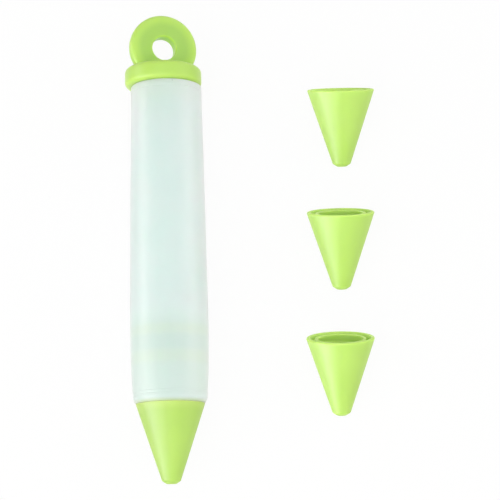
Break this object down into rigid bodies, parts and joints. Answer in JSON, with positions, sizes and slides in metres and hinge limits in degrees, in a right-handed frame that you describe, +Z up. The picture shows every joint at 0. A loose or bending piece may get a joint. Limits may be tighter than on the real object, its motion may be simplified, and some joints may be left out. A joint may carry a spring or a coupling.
{
  "type": "cake decorating syringe",
  "caption": "Soft squeeze pen for cake decorating: translucent silicone barrel, stopper cap with hanging loop, cone nozzle on a hard coupler, and spare nozzles beside it.",
  "frame": {"origin": "centre of the bounding box's underside, on the surface that the pen and the spare nozzles lie on", "axes": "+Y along the pen towards its cap and hanging loop, +X towards the spare nozzles, +Z up"},
  "size_m": [0.0912, 0.1712, 0.028],
  "materials": {
    "clear_silicone": "frosted translucent moulded silicone",
    "lime_silicone": "satin moulded silicone",
    "lime_plastic": "satin moulded polypropylene"
  },
  "bodies": {
    "pen": {"barrel": "clear_silicone", "coupler": "lime_plastic"},
    "cap": {"cap": "lime_silicone"},
    "nozzle": {"nozzle": "lime_plastic"},
    "spare_nozzle_1": {"spare_nozzle_1": "lime_plastic"},
    "spare_nozzle_2": {"spare_nozzle_2": "lime_plastic"},
    "spare_nozzle_3": {"spare_nozzle_3": "lime_plastic"}
  },
  "joints": [
    {"name": "cap_pull", "type": "slide", "parent": "pen", "child": "cap", "axis": [0, 1, 0], "range_m": [0, 0.03]},
    {"name": "nozzle_off", "type": "slide", "parent": "pen", "child": "nozzle", "axis": [0, -1, 0], "range_m": [0, 0.03]},
    {"name": "spare_lift_1", "type": "slide", "parent": "pen", "child": "spare_nozzle_1", "axis": [0, 0, 1], "range_m": [0, 0.06]},
    {"name": "spare_lift_2", "type": "slide", "parent": "pen", "child": "spare_nozzle_2", "axis": [0, 0, 1], "range_m": [0, 0.06]},
    {"name": "spare_lift_3", "type": "slide", "parent": "pen", "child": "spare_nozzle_3", "axis": [0, 0, 1], "range_m": [0, 0.06]}
  ]
}
